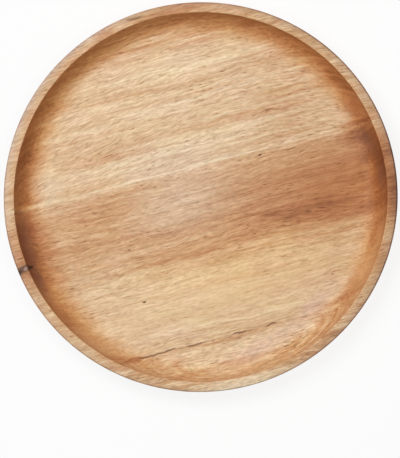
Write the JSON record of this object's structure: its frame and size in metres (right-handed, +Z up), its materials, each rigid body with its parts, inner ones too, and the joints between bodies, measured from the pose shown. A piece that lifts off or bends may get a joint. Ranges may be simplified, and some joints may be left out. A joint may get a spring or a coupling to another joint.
{
  "type": "dessert plate",
  "caption": "Round shallow wooden dessert plate turned from edge-glued boards, with a flat floor, a coved well, a rounded heel and a low upright rim.",
  "frame": {"origin": "middle of the flat underside, on the surface that the plate stands on", "axes": "+X along the grain and the glue joints, +Y across the grain towards the back board, +Z up out of the well"},
  "size_m": [0.2012, 0.1988, 0.0185],
  "materials": {
    "back_board_wood": "pale honey hardwood, sanded and oiled to a satin sheen",
    "centre_board_wood": "reddish brown to tan hardwood, sanded and oiled to a satin sheen",
    "front_board_wood": "pinkish tan hardwood, sanded and oiled to a satin sheen",
    "glue": "cured wood glue, brown, sanded flush"
  },
  "bodies": {
    "root": {"back_board": "back_board_wood", "back_glue_line": "glue", "centre_board": "centre_board_wood", "front_glue_line": "glue", "front_board": "front_board_wood"}
  },
  "joints": []
}
